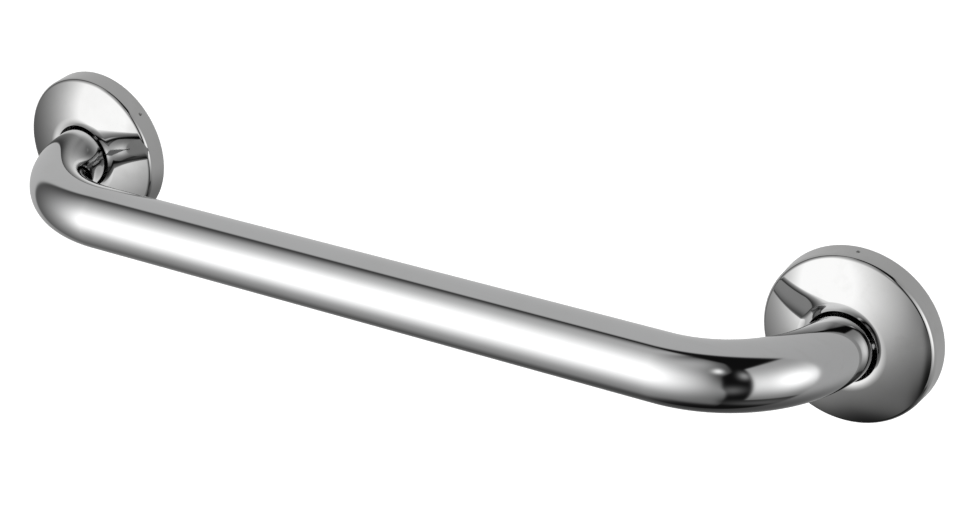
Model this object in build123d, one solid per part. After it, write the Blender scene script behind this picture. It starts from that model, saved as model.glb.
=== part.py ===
from build123d import *

import os
from math import sqrt

# Straight wall grab bar: one bent tube, welded to a round plate at each end, with a domed cover pushed over
# each plate. In the row's frame, in millimetres, X runs along the bar, Y points into the wall and Z is up.
# The wall is the plane y = 0, and the origin lies on it, midway between the two plates.
# Each end is drawn in a frame of its own: its x is X, its y is Z, and its z is the height above the wall.

# Bar
centre_distance = 440.0  # between the middles of the two plates
tube_diameter = 32.0
tube_wall = 1.2
bend_radius = 60.0  # to the tube's centreline
stub_length = 6.0  # straight tube between the plate and the bend

# Plates
plate_thickness = 6.0
socket_depth = 3.0  # how far the tube's end sits in the plate
socket_clearance = 0.1  # on the radius
screw_hole_diameter = 6.5
countersink_diameter = 12.5
countersink_angle = 90.0
screw_count = 3
screw_land = 3.75  # between the weld's toe and a countersink
edge_land = 4.65  # between a countersink and the plate's edge
plate_chamfer = 0.8  # leads the cover's dimples on to the edge

# Welds
weld_leg = 3.0
weld_hollow = 0.35  # how far the weld's face sinks below a straight chamfer
weld_clearance = 0.02  # between the weld and the tube's skin

# Covers
cover_sheet = 1.0
cover_wall_gap = 0.3  # the plate meets the wall first
cover_rim_gap = 0.7  # between the plate's edge and the inside of the rim, at the dimples
cover_rim_height = 10.5  # to the corner of rim and face, before it is rounded
cover_rim_draft = 0.5  # the rim is this much wider at the wall, on the radius
cover_dome_radius = 96.0  # of the face
cover_edge_radius = 3.0
cover_hole_gap = 1.2  # round the tube
cover_hole_round = 0.4  # takes the sharp edge off the hole
land_width = 2.8  # round the hole, where the face turns down towards it, before the blend
land_fall = 0.45  # how much lower the land is at the hole
land_blend_radius = 9.0  # between the land and the dome
dimple_count = 3
dimple_setback = 1.5  # behind the plate's front face
dimple_radius = 1.0
dimple_clearance = 0.05  # between a dimple and the plate's edge
# The first dimple's angle from the top, clockwise seen from the front
cover_turn = {"left": 51.5, "right": 1.0}

# Sizes that follow from those above
tube_radius = tube_diameter / 2
bar_standoff = plate_thickness + stub_length + bend_radius  # wall to the bar's centreline
socket_radius = tube_radius + socket_clearance
screw_circle_radius = tube_radius + weld_leg + screw_land + countersink_diameter / 2
plate_radius = screw_circle_radius + countersink_diameter / 2 + edge_land
dimple_height = plate_thickness - dimple_setback
dimple_reach = cover_rim_gap - dimple_clearance  # how far a dimple is pressed in
cover_hole_radius = tube_radius + cover_hole_gap

# Which end is which: the side of the row's middle that it lies on
ends = {"left": -1, "right": 1}
full_turn = 360.0


def at_end(side):
    """The frame of one end, on the wall in the middle of its plate."""
    return Plane(origin=(side * centre_distance / 2, 0, 0), x_dir=(1, 0, 0), z_dir=(0, -1, 0))


def rim_radius(height):
    """Outer radius of a cover's rim at a height above the wall. It is set by the plate at the dimples."""
    at_dimples = plate_radius + cover_rim_gap + cover_sheet
    slope = cover_rim_draft / cover_rim_height
    return at_dimples + (dimple_height - height) * slope


def make_bar_tube():
    """One tube, bent at both ends, so that each end stands square in its plate."""
    end_y = -(plate_thickness - socket_depth)
    half = centre_distance / 2
    path = FilletPolyline(
        (-half, end_y),
        (-half, -bar_standoff),
        (half, -bar_standoff),
        (half, end_y),
        radius=bend_radius,
    )
    ring = Circle(tube_radius) - Circle(tube_radius - tube_wall)
    return sweep(Plane(origin=path @ 0, z_dir=path % 0) * ring, path=path)


def make_plate(side):
    """Round plate with a stepped bore for the tube's end, and countersunk holes, one on the outer side."""
    plate = extrude(Circle(plate_radius), plate_thickness)
    front_edge = plate.edges().group_by(Axis.Z)[-1]
    plate = chamfer(front_edge, plate_chamfer)
    plate -= extrude(Circle(tube_radius - tube_wall), plate_thickness)
    plate -= Pos(0, 0, plate_thickness - socket_depth) * extrude(Circle(socket_radius), socket_depth)
    first_angle = 0 if side > 0 else full_turn / 2
    screw_places = PolarLocations(screw_circle_radius, screw_count, start_angle=first_angle)
    hole = CounterSinkHole(
        radius=screw_hole_diameter / 2,
        counter_sink_radius=countersink_diameter / 2,
        depth=plate_thickness,
        counter_sink_angle=countersink_angle,
    )
    for place in screw_places:
        plate -= place * Pos(0, 0, plate_thickness) * hole
    return plate


def make_weld():
    """Fillet weld round the tube, on the plate's front face, with a slightly hollow face."""
    inner = tube_radius + weld_clearance
    toe = (inner + weld_leg, plate_thickness)
    top = (inner, plate_thickness + weld_leg)
    root = (inner, plate_thickness)
    outline = Polyline(top, root, toe) + SagittaArc(toe, top, weld_hollow)
    return revolve(Plane.XZ * make_face(outline), Axis.Z)


def make_cover(turn):
    """Pressed cover: drafted rim with dimples, rounded edge, domed face and a land falling to the hole."""
    corner_radius = rim_radius(cover_rim_height)
    dome_middle = cover_rim_height - sqrt(cover_dome_radius**2 - corner_radius**2)
    land_radius = cover_hole_radius + land_width
    land_height = dome_middle + sqrt(cover_dome_radius**2 - land_radius**2)
    hole_height = land_height - land_fall
    land_slope = land_fall / land_width
    foot = (rim_radius(cover_wall_gap), cover_wall_gap)
    corner = (corner_radius, cover_rim_height)
    land_edge = (land_radius, land_height)
    land_end = (cover_hole_radius - cover_sheet, hole_height - cover_sheet * land_slope)
    dome = RadiusArc(corner, land_edge, -cover_dome_radius)
    outer_line = Wire([Line(foot, corner), dome, Line(land_edge, land_end)])
    for sharp, radius in ((corner, cover_edge_radius), (land_edge, land_blend_radius)):
        vertex = outer_line.vertices().sort_by_distance(sharp)[0]
        outer_line = outer_line.fillet_2d(radius, [vertex])
    skin = make_face(outer_line.offset_2d(cover_sheet, side=Side.LEFT))
    cover = revolve(Plane.XZ * skin, Axis.Z)
    cover -= extrude(Circle(cover_hole_radius), land_height)
    hole_edge = cover.edges().sort_by_distance((0, cover_hole_radius, hole_height))[0]
    cover = fillet(hole_edge, cover_hole_round)
    mid_sheet = cover_sheet / 2
    rim_core = Pos(0, 0, cover_wall_gap) * Cone(
        rim_radius(cover_wall_gap) - mid_sheet,
        rim_radius(cover_rim_height) - mid_sheet,
        cover_rim_height - cover_wall_gap,
        align=(Align.CENTER, Align.CENTER, Align.MIN),
    )
    dent_middle = rim_radius(dimple_height) - dimple_reach + dimple_radius
    dent = Pos(0, dent_middle, dimple_height) * Rot(90, 0, 0)
    places = [Rot(0, 0, -turn - k * full_turn / dimple_count) * dent for k in range(dimple_count)]
    cover += [(place * Sphere(dimple_radius + cover_sheet)) & rim_core for place in places]
    cover -= [place * Sphere(dimple_radius) for place in places]
    return cover


def make_nodes():
    """Every node of the row by name."""
    nodes = {"bar_tube": make_bar_tube()}
    for name, side in ends.items():
        frame = at_end(side)
        nodes[f"{name}_mounting_plate"] = frame * make_plate(side)
        nodes[f"{name}_weld"] = frame * make_weld()
        nodes[f"{name}_cover"] = frame * make_cover(cover_turn[name])
    return nodes


os.makedirs("parts", exist_ok=True)
for node_name, solid in make_nodes().items():
    export_step(solid, f"parts/{node_name}.step")
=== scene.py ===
"""Wall grab bar in bright chrome: looks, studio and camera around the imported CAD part, in metres."""

from math import atan, atan2, cos, pi, radians, sin, sqrt, tan

import bpy
import numpy as np
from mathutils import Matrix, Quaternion, Vector


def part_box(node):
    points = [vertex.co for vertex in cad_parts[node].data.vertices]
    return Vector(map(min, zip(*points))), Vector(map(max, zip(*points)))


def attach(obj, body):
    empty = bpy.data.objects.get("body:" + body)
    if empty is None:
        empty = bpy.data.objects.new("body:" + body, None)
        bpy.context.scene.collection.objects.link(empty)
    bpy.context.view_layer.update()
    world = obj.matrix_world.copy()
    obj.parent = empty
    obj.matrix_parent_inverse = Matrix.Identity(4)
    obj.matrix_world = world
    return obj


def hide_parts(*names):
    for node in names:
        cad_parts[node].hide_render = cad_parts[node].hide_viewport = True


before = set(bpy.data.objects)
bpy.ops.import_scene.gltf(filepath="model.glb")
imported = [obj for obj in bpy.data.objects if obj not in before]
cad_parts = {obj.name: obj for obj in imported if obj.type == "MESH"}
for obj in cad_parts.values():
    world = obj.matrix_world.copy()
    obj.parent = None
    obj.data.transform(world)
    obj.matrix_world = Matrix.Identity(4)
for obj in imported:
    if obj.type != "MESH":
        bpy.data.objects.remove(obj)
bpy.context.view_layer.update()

mm = 0.001
full_turn = 2 * pi

# Sizes of the CAD part that its boxes don't give. Heights are above the wall.
tube_wall = 1.2 * mm
bend_radius = 60.0 * mm
tube_foot = 3.0 * mm  # height of the tube's ends
cover_sheet = 1.0 * mm
cover_foot = 0.3 * mm  # height of the rim's foot
cover_rim_height = 10.5 * mm
cover_rim_draft = 0.5 * mm
cover_dome_radius = 96.0 * mm
cover_edge_radius = 3.0 * mm
cover_hole_gap = 1.2 * mm
cover_hole_round = 0.4 * mm
land_width = 2.8 * mm
land_fall = 0.45 * mm
land_blend_radius = 9.0 * mm
dimple_height = 4.5 * mm
dimple_depth = 0.65 * mm
dimple_radius = 1.0 * mm
dimple_count = 3
# The first dimple's angle from the top in degrees, clockwise seen from the front
cover_turn = {"left": 51.5, "right": 1.0}

# Sizes read from the boxes of the nodes
tube_low, tube_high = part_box("bar_tube")
tube_radius = (tube_high.z - tube_low.z) / 2
standoff = -tube_low.y - tube_radius
end_x = tube_high.x - tube_radius
cover_low, cover_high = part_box("right_cover")
cover_foot_radius = (cover_high.z - cover_low.z) / 2

# How far from a dimple's middle the rim gets finer steps
zone_up = 2.2 * mm
zone_aside = 2.4 * mm


def add_object(name, data):
    """New object in the scene."""
    obj = bpy.data.objects.new(name, data)
    bpy.context.scene.collection.objects.link(obj)
    return obj


def closed_skin(name, strips, materials):
    """Piece with one closed skin. Each strip is rows of points round the piece, their normals and a material.
    A strip starts on the last row of the one before and keeps its own normals, so their edge is crisp."""
    count = strips[0][0].shape[1]
    points = np.concatenate([rows[:-1] for rows, _, _ in strips])
    total = len(points)
    turn = np.arange(count)
    after = (turn + 1) % count
    faces = []
    corner_normals = []
    face_materials = []
    first = 0
    for rows, normals, material in strips:
        for j in range(len(rows) - 1):
            a = (first + j) % total * count
            b = (first + j + 1) % total * count
            here = normals[j]
            ahead = normals[j + 1]
            faces.append(np.stack([a + turn, b + turn, b + after, a + after], axis=1))
            corner_normals.append(np.stack([here, ahead, ahead[after], here[after]], axis=1))
            face_materials.append(np.full(count, material))
        first += len(rows) - 1
    faces = np.concatenate(faces)
    corner_normals = np.concatenate(corner_normals).reshape(-1, 3)
    mesh = bpy.data.meshes.new(name)
    mesh.from_pydata(points.reshape(-1, 3).tolist(), [], faces.tolist())
    mesh.polygons.foreach_set("material_index", np.concatenate(face_materials).astype(np.int32))
    mesh.polygons.foreach_set("use_smooth", np.ones(len(faces), bool))
    mesh.normals_split_custom_set(corner_normals.tolist())
    for material in materials:
        mesh.materials.append(material)
    return add_object(name, mesh)


def bar_line(stub_steps, bend_steps, run_steps):
    """The bar's centreline from the left plate to the right one, and the direction across it."""
    bend_y = standoff - bend_radius
    flat_x = end_x - bend_radius
    share = np.linspace(0, 1, stub_steps)
    stub = np.stack([np.full(stub_steps, -end_x), -tube_foot - (bend_y - tube_foot) * share], axis=1)
    stub_across = np.tile([-1.0, 0.0], (stub_steps, 1))
    angle = np.linspace(0, pi / 2, bend_steps)
    bend_across = np.stack([-np.cos(angle), -np.sin(angle)], axis=1)
    bend = np.array([-flat_x, -bend_y]) + bend_radius * bend_across
    half = np.concatenate([stub[:-1], bend])
    half_across = np.concatenate([stub_across[:-1], bend_across])
    run_x = np.linspace(-flat_x, flat_x, run_steps)
    run = np.stack([run_x, np.full(run_steps, -standoff)], axis=1)[1:-1]
    run_across = np.tile([0.0, -1.0], (len(run), 1))
    mirror = np.array([-1.0, 1.0])
    line = np.concatenate([half, run, half[::-1] * mirror])
    across = np.concatenate([half_across, run_across, half_across[::-1] * mirror])
    level = np.zeros((len(line), 1))
    return np.hstack([line, level]), np.hstack([across, level])


def tube_rows(line, across, radius, count):
    """Rings of a tube round a line in the plane z = 0: points and normals."""
    angle = np.linspace(0, full_turn, count, endpoint=False)
    up = np.array([0.0, 0.0, 1.0])
    normals = np.cos(angle)[None, :, None] * across[:, None, :] + np.sin(angle)[None, :, None] * up
    return line[:, None, :] + radius * normals, normals


def make_tube(chrome, inside):
    """Bent tube with a polished outside, a plain bore and square ends."""
    count = 128
    line, across = bar_line(stub_steps=4, bend_steps=64, run_steps=30)
    outer, outer_normals = tube_rows(line, across, tube_radius, count)
    inner, inner_normals = tube_rows(line, across, tube_radius - tube_wall, count)
    to_wall = np.tile([0.0, 1.0, 0.0], (2, count, 1))
    strips = [
        (outer, outer_normals, 0),
        (np.stack([outer[-1], inner[-1]]), to_wall, 1),
        (inner[::-1], -inner_normals[::-1], 1),
        (np.stack([inner[0], outer[0]]), to_wall, 1),
    ]
    return closed_skin("chrome_bar", strips, [chrome, inside])


def point_at_reach(start, along, middle_height, reach):
    """Point on a line from start that is this far from a middle on the cover's axis."""
    a = start - np.array([0.0, middle_height])
    travel = -a @ along + sqrt((a @ along) ** 2 - a @ a + reach**2)
    return start + along * travel


def cover_profile(inset, zone_steps, edge_steps, dome_steps, blend_steps):
    """Line of a cover from the rim's foot to the hole, this far inside its outer skin: radius and height of
    each point, and its normal. The outer line rounds the hole's edge and ends down its wall. The steps are
    those of the rim near the dimples, the rounded edge, the dome and the blend to the land."""
    slope = cover_rim_draft / cover_rim_height
    corner = cover_foot_radius - slope * (cover_rim_height - cover_foot)
    dome_middle = cover_rim_height - sqrt(cover_dome_radius**2 - corner**2)
    along = np.array([-slope, 1.0]) / sqrt(1 + slope**2)
    rim_normal = np.array([along[1], -along[0]])
    foot = np.array([cover_foot_radius, cover_foot])
    start = foot - rim_normal * cover_edge_radius
    edge_middle = point_at_reach(start, along, dome_middle, cover_dome_radius - cover_edge_radius)
    edge_start = atan2(rim_normal[1], rim_normal[0])
    edge_end = atan2(edge_middle[1] - dome_middle, edge_middle[0])

    hole = tube_radius + cover_hole_gap
    land_radius = hole + land_width
    land_height = dome_middle + sqrt(cover_dome_radius**2 - land_radius**2)
    fall = atan(land_fall / land_width)
    land_angle = pi / 2 + fall
    land_normal = np.array([-sin(fall), cos(fall)])
    outward = np.array([cos(fall), sin(fall)])
    start = np.array([land_radius, land_height]) - land_normal * land_blend_radius
    blend_middle = point_at_reach(start, outward, dome_middle, cover_dome_radius - land_blend_radius)
    dome_end = atan2(blend_middle[1] - dome_middle, blend_middle[0])

    zone = dimple_height + np.linspace(-zone_up, zone_up, zone_steps)
    rim_top = edge_middle[1] + rim_normal[1] * cover_edge_radius
    below = np.linspace(cover_foot, zone[0], 4)[:-1]
    above = np.linspace(zone[-1], rim_top, 6)[1:]
    heights = np.concatenate([below, zone, above])
    rim = foot - rim_normal * inset + along * ((heights - cover_foot) / along[1])[:, None]
    points = [rim]
    normals = [np.tile(rim_normal, (len(rim), 1))]

    def add_arc(middle, radius, begin, end, count):
        """Goes on along an arc from one angle to another. Its first point is there already."""
        angle = np.linspace(begin, end, count)[1:]
        normal = np.stack([np.cos(angle), np.sin(angle)], axis=1)
        points.append(np.array(middle) + radius * normal)
        normals.append(normal)

    add_arc(edge_middle, cover_edge_radius - inset, edge_start, edge_end, edge_steps)
    add_arc((0.0, dome_middle), cover_dome_radius - inset, edge_end, dome_end, dome_steps)
    add_arc(blend_middle, land_blend_radius - inset, dome_end, land_angle, blend_steps)
    last_normal = land_normal
    if not inset:
        drop = (land_width - cover_hole_round) * tan(fall) + cover_hole_round / cos(fall)
        round_middle = np.array([hole + cover_hole_round, land_height - drop])
        points.append((round_middle + cover_hole_round * land_normal)[None, :])
        normals.append(land_normal[None, :])
        add_arc(round_middle, cover_hole_round, land_angle, pi, 8)
        last_normal = np.array([-1.0, 0.0])
    wall_end = land_height - land_fall - cover_sheet / cos(fall)
    points.append(np.array([[hole, wall_end]]))
    normals.append(last_normal[None, :])
    return np.concatenate(points), np.concatenate(normals)


def dimple_angles(turn):
    """Angles of a cover's dimples from the top, clockwise seen from the front."""
    return [radians(turn + k * 360 / dimple_count) for k in range(dimple_count)]


def swing_from(middle, angles):
    """How far each angle is turned from the middle, the shorter way round."""
    return (angles - middle + pi) % full_turn - pi


def press_dimples(points, normals, angles, turn, ball):
    """Presses the rim in at the dimples by a ball of that radius, with a soft edge. Changes both in place."""
    soft = 0.12 * mm  # how far the edge is rounded
    reach = 3 * ball
    steepest = 0.97 * ball  # further out, the ball's slope goes straight on
    edge_fall = -steepest / sqrt(ball**2 - steepest**2)
    level = ball - dimple_depth
    tiny = 1e-9
    for middle in dimple_angles(turn):
        aside = points[:, :, 0] * swing_from(middle, angles)[None, :]
        rise = points[:, :, 1] - dimple_height
        away = np.sqrt(aside**2 + rise**2)
        near = (away < reach) & (points[:, :, 1] < cover_rim_height)
        inside = np.minimum(away, steepest)
        drop = np.sqrt(ball**2 - inside**2)
        fall = np.where(away < steepest, -inside / drop, edge_fall)
        depth = drop - level + edge_fall * (away - inside)
        root = np.sqrt(depth**2 + soft**2)
        points[:, :, 0] -= np.where(near, (depth + root) / 2, 0)
        steep = np.where(near, (1 + depth / root) / 2 * fall, 0)
        lean = np.sign(normals[:, :, 0]) * steep / np.maximum(away, tiny)
        normals[:, :, 1] += lean * rise
        normals[:, :, 2] += lean * aside
    normals /= np.linalg.norm(normals, axis=2, keepdims=True)


def make_cover(name, middle_x, turn, chrome, inside):
    """Pressed cover of one sheet: bright outside, dull inside, with the dimples that hold it on the plate."""
    zone = zone_aside / cover_foot_radius
    spare = 0.01  # keeps slivers out between the fine and the coarse steps
    fine = np.linspace(-zone, zone, 28)
    coarse = np.linspace(0, full_turn, 180, endpoint=False)
    dimples = dimple_angles(turn)
    for middle in dimples:
        coarse = coarse[np.abs(swing_from(middle, coarse)) > zone + spare]
    angles = np.sort(np.concatenate([coarse, *[(middle + fine) % full_turn for middle in dimples]]))

    def spin(profile, profile_normals, ball):
        """Turns a profile round the cover's axis, and presses the dimples in by a ball of that radius."""
        rows = np.repeat(profile[:, None, :], len(angles), axis=1)
        normals = np.repeat(np.pad(profile_normals, ((0, 0), (0, 1)))[:, None, :], len(angles), axis=1)
        press_dimples(rows, normals, angles, turn, ball)
        s = np.sin(angles)[None, :]
        c = np.cos(angles)[None, :]
        radius, height = np.moveaxis(rows, 2, 0)
        out, up, along = np.moveaxis(normals, 2, 0)
        places = np.stack([middle_x + radius * s, -height, radius * c], axis=2)
        return places, np.stack([out * s + along * c, -up, out * c - along * s], axis=2)

    line, line_normals = cover_profile(0, zone_steps=22, edge_steps=18, dome_steps=40, blend_steps=24)
    outer, outer_normals = spin(line, line_normals, dimple_radius)
    line, line_normals = cover_profile(
        cover_sheet, zone_steps=18, edge_steps=10, dome_steps=24, blend_steps=10
    )
    inner, inner_normals = spin(line, -line_normals, dimple_radius + cover_sheet)
    foot_normals = np.tile([0.0, 1.0, 0.0], (2, len(angles), 1))
    strips = [
        (outer, outer_normals, 0),
        (inner[::-1], inner_normals[::-1], 1),
        (np.stack([inner[0], outer[0]]), foot_normals, 0),
    ]
    return closed_skin(name, strips, [chrome, inside])


class Nodes:
    """Short way to build the nodes of a material or of the world."""

    def __init__(self, owner):
        owner.use_nodes = True
        self.owner = owner
        self.tree = owner.node_tree
        self.tree.nodes.clear()

    def add(self, kind, inputs=None, **settings):
        """New node. An input takes a value, or another node's output."""
        node = self.tree.nodes.new(kind)
        for key, value in settings.items():
            setattr(node, key, value)
        for key, value in (inputs or {}).items():
            if isinstance(value, bpy.types.NodeSocket):
                self.tree.links.new(value, node.inputs[key])
            else:
                node.inputs[key].default_value = value
        return node

    def place(self):
        """Place on the object, in metres."""
        return self.add("ShaderNodeTexCoord").outputs["Object"]

    def stretched(self, scale):
        """Place on the object, scaled along each axis."""
        return self.add("ShaderNodeMapping", {"Vector": self.place(), "Scale": scale}).outputs["Vector"]

    def noise(self, vector, scale, detail=2.0, roughness=0.5):
        inputs = {"Vector": vector, "Scale": scale, "Detail": detail, "Roughness": roughness}
        return self.add("ShaderNodeTexNoise", inputs).outputs["Fac"]

    def between(self, value, low, high, to_low=0.0, to_high=1.0):
        """Takes the range from low to high to another one, and stays within that."""
        inputs = {"Value": value, "From Min": low, "From Max": high, "To Min": to_low, "To Max": to_high}
        return self.add("ShaderNodeMapRange", inputs, clamp=True).outputs["Result"]

    def maths(self, kind, a, b):
        return self.add("ShaderNodeMath", {0: a, 1: b}, operation=kind).outputs["Value"]

    def vector_maths(self, kind, inputs, output="Vector"):
        return self.add("ShaderNodeVectorMath", dict(enumerate(inputs)), operation=kind).outputs[output]

    def mix(self, factor, a, b):
        """Colour that goes from a to b as the factor goes from 0 to 1."""
        return self.add("ShaderNodeMix", {0: factor, 6: a, 7: b}, data_type="RGBA").outputs[2]

    def bump(self, height, distance):
        inputs = {"Height": height, "Distance": distance, "Strength": 1.0}
        return self.add("ShaderNodeBump", inputs).outputs["Normal"]

    def hollows(self, reach):
        """1 in dents and narrow gaps of about this size, 0 on open faces."""
        shut = 0.6
        clear = 0.92
        open_share = self.add("ShaderNodeAmbientOcclusion", {"Distance": reach}, samples=8).outputs["AO"]
        return self.between(open_share, shut, clear, to_low=1.0, to_high=0.0)

    def seen(self):
        """1 for what the camera sees, directly or by a mirror or glass, and 0 for light on matt things."""
        path = self.add("ShaderNodeLightPath").outputs
        direct_or_mirror = self.maths("MAXIMUM", path["Is Camera Ray"], path["Is Glossy Ray"])
        return self.maths("MAXIMUM", direct_or_mirror, path["Is Transmission Ray"])

    def metal(self, colour, roughness, normal):
        """The finished material, as bare metal."""
        inputs = {"Base Color": colour, "Metallic": 1.0, "Roughness": roughness, "Normal": normal}
        return self.finish(self.add("ShaderNodeBsdfPrincipled", inputs), "BSDF")

    def finish(self, shader, socket, output="ShaderNodeOutputMaterial"):
        """Shows the shader, and gives the material or world."""
        self.add(output, {"Surface": shader.outputs[socket]})
        return self.owner


def chrome_material(name, clean, dulled, wipe):
    """Polished chrome plating: mirror bright, with slow waves of polishing, faint wipe marks, and painted
    shade: the colour darkens in dents and gaps, which are also rougher. Wipe is the scale of the marks along
    each axis."""
    n = Nodes(bpy.data.materials.new(name))
    # Colour of the painted shade in dents and gaps
    hollow_shade_colour = (0.03, 0.029, 0.027, 1)
    smudge = n.between(n.noise(n.place(), scale=26.0, detail=4.0, roughness=0.6), 0.45, 0.75)
    marks = n.between(n.noise(n.stretched(wipe), scale=1.0, detail=3.0, roughness=0.6), 0.5, 0.8)
    rough = n.maths("ADD", n.maths("MULTIPLY", smudge, 0.03), n.maths("MULTIPLY", marks, 0.02))
    # Hollows mask from ambient occlusion: it darkens the colour as painted shade and raises the roughness
    hollow_shade = n.hollows(1.5 * mm)
    rough = n.maths("ADD", rough, n.between(hollow_shade, 0.0, 1.0, to_low=0.02, to_high=0.3))
    colour = n.mix(n.maths("MAXIMUM", smudge, marks), (*clean, 1), (*dulled, 1))
    # Painted shade: the colour goes dark in dents and gaps
    colour = n.mix(hollow_shade, colour, hollow_shade_colour)
    waves = n.bump(n.noise(n.place(), scale=18.0, detail=1.0, roughness=0.3), 0.02 * mm)
    return n.metal(colour, rough, waves)


def bare_steel(name, low, high, rough):
    """Unpolished steel inside: rolled grain and a dull, uneven tone."""
    n = Nodes(bpy.data.materials.new(name))
    rolled = (60.0, 900.0, 900.0)
    grain = n.noise(n.stretched(rolled), scale=1.0, detail=3.0, roughness=0.6)
    patch = n.noise(n.place(), scale=70.0, detail=4.0, roughness=0.6)
    colour = n.mix(patch, (*low, 1), (*high, 1))
    roughness = n.between(grain, 0.3, 0.7, to_low=rough - 0.08, to_high=rough + 0.1)
    return n.metal(colour, roughness, n.bump(grain, 0.02 * mm))


def turned_steel(name):
    """Machined plate: fine rings round its middle, a rolled skin and scuffs from handling."""
    n = Nodes(bpy.data.materials.new(name))
    in_box = n.add("ShaderNodeTexCoord").outputs["Generated"]
    centred = n.vector_maths("SUBTRACT", (in_box, (0.5, 0.5, 0.5)))
    on_face = n.vector_maths("MULTIPLY", (centred, (1.0, 0.0, 1.0)))
    from_middle = n.vector_maths("LENGTH", (on_face,), "Value")
    inputs = {"W": n.maths("MULTIPLY", from_middle, 160.0), "Detail": 3.0, "Roughness": 0.7}
    rings = n.add("ShaderNodeTexNoise", inputs, noise_dimensions="1D").outputs["Fac"]
    scuffs = n.noise(n.place(), scale=120.0, detail=4.0, roughness=0.65)
    colour = n.mix(scuffs, (0.42, 0.43, 0.44, 1), (0.62, 0.62, 0.615, 1))
    ring_roughness = n.between(rings, 0.3, 0.7, to_low=0.22, to_high=0.36)
    scuff_roughness = n.between(scuffs, 0.45, 0.8, to_low=0.0, to_high=0.14)
    roughness = n.maths("ADD", ring_roughness, scuff_roughness)
    return n.metal(colour, roughness, n.bump(rings, 0.03 * mm))


def weld_steel(name):
    """Weld bead: fine ripples and a straw to blue heat tint."""
    n = Nodes(bpy.data.materials.new(name))
    ripples = n.noise(n.place(), scale=700.0)
    heat = n.between(n.noise(n.place(), scale=140.0), 0.35, 0.65)
    colour = n.mix(heat, (0.45, 0.38, 0.28, 1), (0.34, 0.37, 0.46, 1))
    roughness = n.between(ripples, 0.3, 0.7, to_low=0.3, to_high=0.55)
    return n.metal(colour, roughness, n.bump(ripples, 0.2 * mm))


# The part. The bar is wiped along its length, and the covers in all directions.
along_bar = (9.0, 240.0, 240.0)
all_ways = (110.0, 110.0, 110.0)
bar_chrome = chrome_material("bar_chrome", (0.57, 0.572, 0.575), (0.545, 0.547, 0.545), along_bar)
cover_chrome = chrome_material("cover_chrome", (0.505, 0.505, 0.503), (0.465, 0.464, 0.46), all_ways)
bore_steel = bare_steel("bore_steel", (0.2, 0.2, 0.2), (0.32, 0.315, 0.31), 0.5)
cover_back = bare_steel("cover_back", (0.25, 0.25, 0.25), (0.38, 0.38, 0.37), 0.45)
plate_finish = turned_steel("plate_finish")
weld_finish = weld_steel("weld_finish")

bar = make_tube(bar_chrome, bore_steel)
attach(bar, "root")
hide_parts("bar_tube")

for side, sign in (("left", -1), ("right", 1)):
    cover = make_cover(f"{side}_chrome_cover", sign * end_x, cover_turn[side], cover_chrome, cover_back)
    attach(cover, "root")
    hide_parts(f"{side}_cover")
    for node_name, finish in ((f"{side}_mounting_plate", plate_finish), (f"{side}_weld", weld_finish)):
        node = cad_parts[node_name]
        node.data.materials.clear()
        node.data.materials.append(finish)

# Studio: a light tent round the bar that only mirrors see, a pale floor and soft light
tent_middle = np.array([0.0, -0.04, 0.0])
tent_radius = 2.3
floor_level = -5.2
brightest = 1.9


def fade(value, middle, softness):
    """Soft step from 0 below the middle to 1 above it."""
    return 1 / (1 + np.exp(-np.clip((value - middle) / softness, -40, 40)))


def lamp(azimuth, elevation, middle, aside, upright):
    """Glow of a lamp on the cloth, by how far it spreads to the left and right, and below and above."""
    a = azimuth - middle[0]
    e = elevation - middle[1]
    width = np.where(a < 0, aside[0], aside[1])
    height = np.where(e < 0, upright[0], upright[1])
    return np.exp(-0.5 * ((a / width) ** 2 + (e / height) ** 2))


def rod(azimuth, facing, rise):
    """Elevation of the level rod that a flat cloth hangs from."""
    return np.degrees(np.arctan(rise * np.cos(np.radians(azimuth - facing))))


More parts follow.
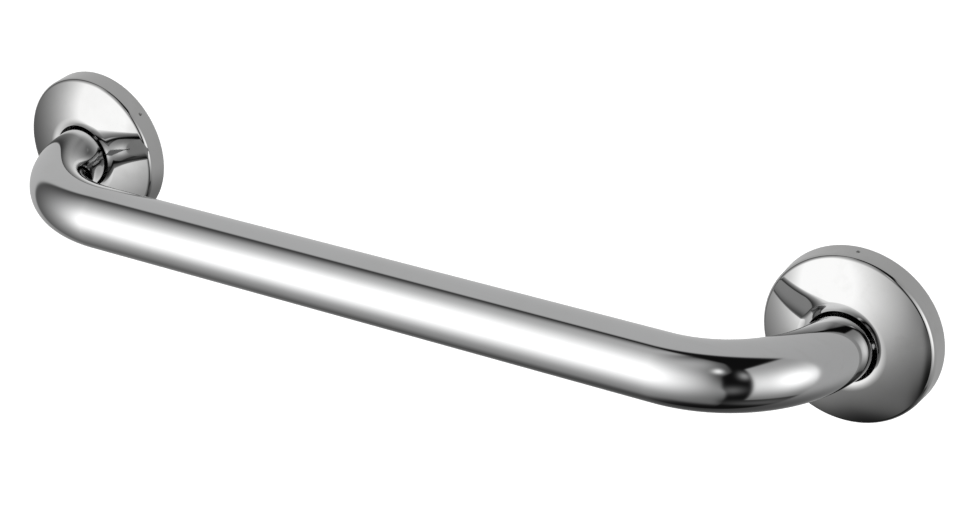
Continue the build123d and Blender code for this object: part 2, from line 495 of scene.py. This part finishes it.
def tent_glow(direction):
    """Brightness of the tent in each direction. Two lit cloths leave a dark slit for the camera between them,
    in which a few pale things stand. Behind the bar there is a grey table that darkens downwards."""
    azimuth = np.degrees(np.arctan2(direction[:, 0], -direction[:, 1]))
    elevation = np.degrees(np.arcsin(np.clip(direction[:, 2], -1, 1)))

    # Left cloth: two lamps, a glow near its top, and shades beside the slit
    left = 0.07 - 0.0016 * elevation
    left += 2.26 * lamp(azimuth, elevation, (-31, 4), (15, 32), (27, 31))
    left += 0.59 * lamp(azimuth, elevation, (-59, 80), (17, 17), (95, 95))
    left += 0.38 * lamp(azimuth, elevation, (10, 62), (22, 16), (13, 13))
    left -= 0.25 * lamp(azimuth, elevation, (29, 18), (7, 7), (18, 18))
    left -= 0.15 * lamp(azimuth, elevation, (33, -55), (4, 4), (12, 12))
    left_edge = 29.3 + 8 * fade(elevation, 33, 3) + 3.2 * fade(-elevation, 15, 4)
    left *= fade(left_edge - azimuth, 0, 0.6) * fade(elevation, -67.9, 3.1)
    left *= fade(rod(azimuth, -28, 5.3) - elevation, 0, 1.0)

    # Right cloth: one lamp, with a wide glow round it
    right = 0.29 + 0.003 * elevation
    right += 0.90 * lamp(azimuth, elevation, (75, 0), (9, 8), (16, 16))
    right += 0.98 * lamp(azimuth, elevation, (75, 0), (87, 87), (22, 22))
    right *= fade(azimuth, 48.6, 0.6) * fade(elevation, -47.5, 0.8)
    right *= fade(rod(azimuth, 100, 1.65) - elevation, 0, 0.8)

    # Pale things in and beside the slit, and below the right cloth
    pale = 1.20 * lamp(azimuth, elevation, (28, 41.5), (3, 2.5), (5, 5))
    pale += 0.16 * lamp(azimuth, elevation, (36, -15), (5, 5), (8, 8))
    pale += 0.42 * lamp(azimuth, elevation, (44.5, 27), (2.5, 2), (7, 7))
    pale += 0.12 * lamp(azimuth, elevation, (75, -60), (25, 25), (5, 8))
    front = np.minimum(0.008 + np.maximum(left, 0) + np.maximum(right, 0) + pale, brightest)

    # Table behind, by how far to the right it is
    aside = direction[:, 0]
    low = 0.07 + 0.07 * aside
    high = 0.63 - 0.06 * aside
    back = low + (high - low) * fade(elevation, -43 - 9 * aside, 9.5 - 3 * aside)
    behind = fade(direction[:, 1], 0.055 - 0.06 * aside, 0.015)
    return front * (1 - behind) + back * behind


def make_tent():
    """Glowing ball round the bar. Only mirrors see it."""
    steps = 360
    rows = 180
    pole = 89.999
    azimuth = np.radians(np.linspace(-180, 180, steps, endpoint=False))
    elevation = np.radians(np.linspace(-pole, pole, rows))
    a, e = np.meshgrid(azimuth, elevation)
    direction = np.stack([np.sin(a) * np.cos(e), -np.cos(a) * np.cos(e), np.sin(e)], axis=2).reshape(-1, 3)
    points = tent_middle + direction * tent_radius
    here = np.arange(steps)
    after = (here + 1) % steps
    row = np.stack([here, after, after + steps, here + steps], axis=1)
    faces = np.concatenate([row + j * steps for j in range(rows - 1)])
    mesh = bpy.data.meshes.new("light_tent")
    mesh.from_pydata(points.tolist(), [], faces.tolist())
    glow = tent_glow(direction)
    colour = mesh.attributes.new("glow", "FLOAT_COLOR", "POINT")
    colour.data.foreach_set("color", np.stack([glow, glow, glow, np.ones(len(glow))], axis=1).ravel())
    n = Nodes(bpy.data.materials.new("tent_cloth"))
    shown = n.add("ShaderNodeAttribute", attribute_name="glow").outputs["Color"]
    cloth = n.add("ShaderNodeEmission", {"Color": shown, "Strength": 1.0})
    mesh.materials.append(n.finish(cloth, "Emission"))
    tent = add_object("light_tent", mesh)
    tent.visible_camera = False
    tent.visible_diffuse = False
    tent.visible_shadow = False


def make_floor():
    """Pale floor far below the bar: white to the camera and to mirrors. It keeps the bar's soft shadow."""
    half = 40.0
    square = ((-half, -half), (half, -half), (half, half), (-half, half))
    mesh = bpy.data.meshes.new("floor")
    mesh.from_pydata([(x, y, floor_level) for x, y in square], [], [(0, 1, 2, 3)])
    n = Nodes(bpy.data.materials.new("pale_floor"))
    strength = n.maths("MULTIPLY", n.seen(), 0.6)
    lift = n.add("ShaderNodeEmission", {"Color": (1, 1, 1, 1), "Strength": strength})
    matt = n.add("ShaderNodeBsdfDiffuse", {"Color": (0.8, 0.8, 0.8, 1)})
    both = n.add("ShaderNodeAddShader", {0: matt.outputs["BSDF"], 1: lift.outputs["Emission"]})
    mesh.materials.append(n.finish(both, "Shader"))
    add_object("floor", mesh)


def make_world():
    """White where it is seen, and a soft even light elsewhere."""
    world = bpy.data.worlds.new("studio")
    bpy.context.scene.world = world
    n = Nodes(world)
    strength = n.between(n.seen(), 0.0, 1.0, to_low=0.3, to_high=1.0)
    background = n.add("ShaderNodeBackground", {"Color": (1, 1, 1, 1), "Strength": strength})
    n.finish(background, "Background", "ShaderNodeOutputWorld")


def make_sun():
    """Soft light from above, which mirrors don't show."""
    light = bpy.data.lights.new("soft_sun", "SUN")
    light.energy = 1.6
    light.angle = radians(30)
    sun = add_object("soft_sun", light)
    sun.rotation_mode = "QUATERNION"
    sun.rotation_quaternion = Vector((0.3, 0.35, -1.0)).to_track_quat("-Z", "Y")
    sun.visible_glossy = False


def make_camera():
    """Camera at the photograph's viewing angle, fitted to the bar's outline there."""
    azimuth = radians(32.942)
    elevation = radians(26.435)
    roll = radians(-1.944)
    data = bpy.data.cameras.new("camera")
    data.sensor_width = 36.0
    data.lens = 84.606
    camera = add_object("camera", data)
    camera.location = (0.56992, -0.84288, 0.48911)
    forward = Vector((-sin(azimuth) * cos(elevation), cos(azimuth) * cos(elevation), -sin(elevation)))
    camera.rotation_mode = "QUATERNION"
    camera.rotation_quaternion = forward.to_track_quat("-Z", "Y") @ Quaternion((0, 0, 1), roll)
    bpy.context.scene.camera = camera


make_tent()
make_floor()
make_world()
make_sun()
make_camera()
bpy.context.scene.view_settings.view_transform = "Standard"
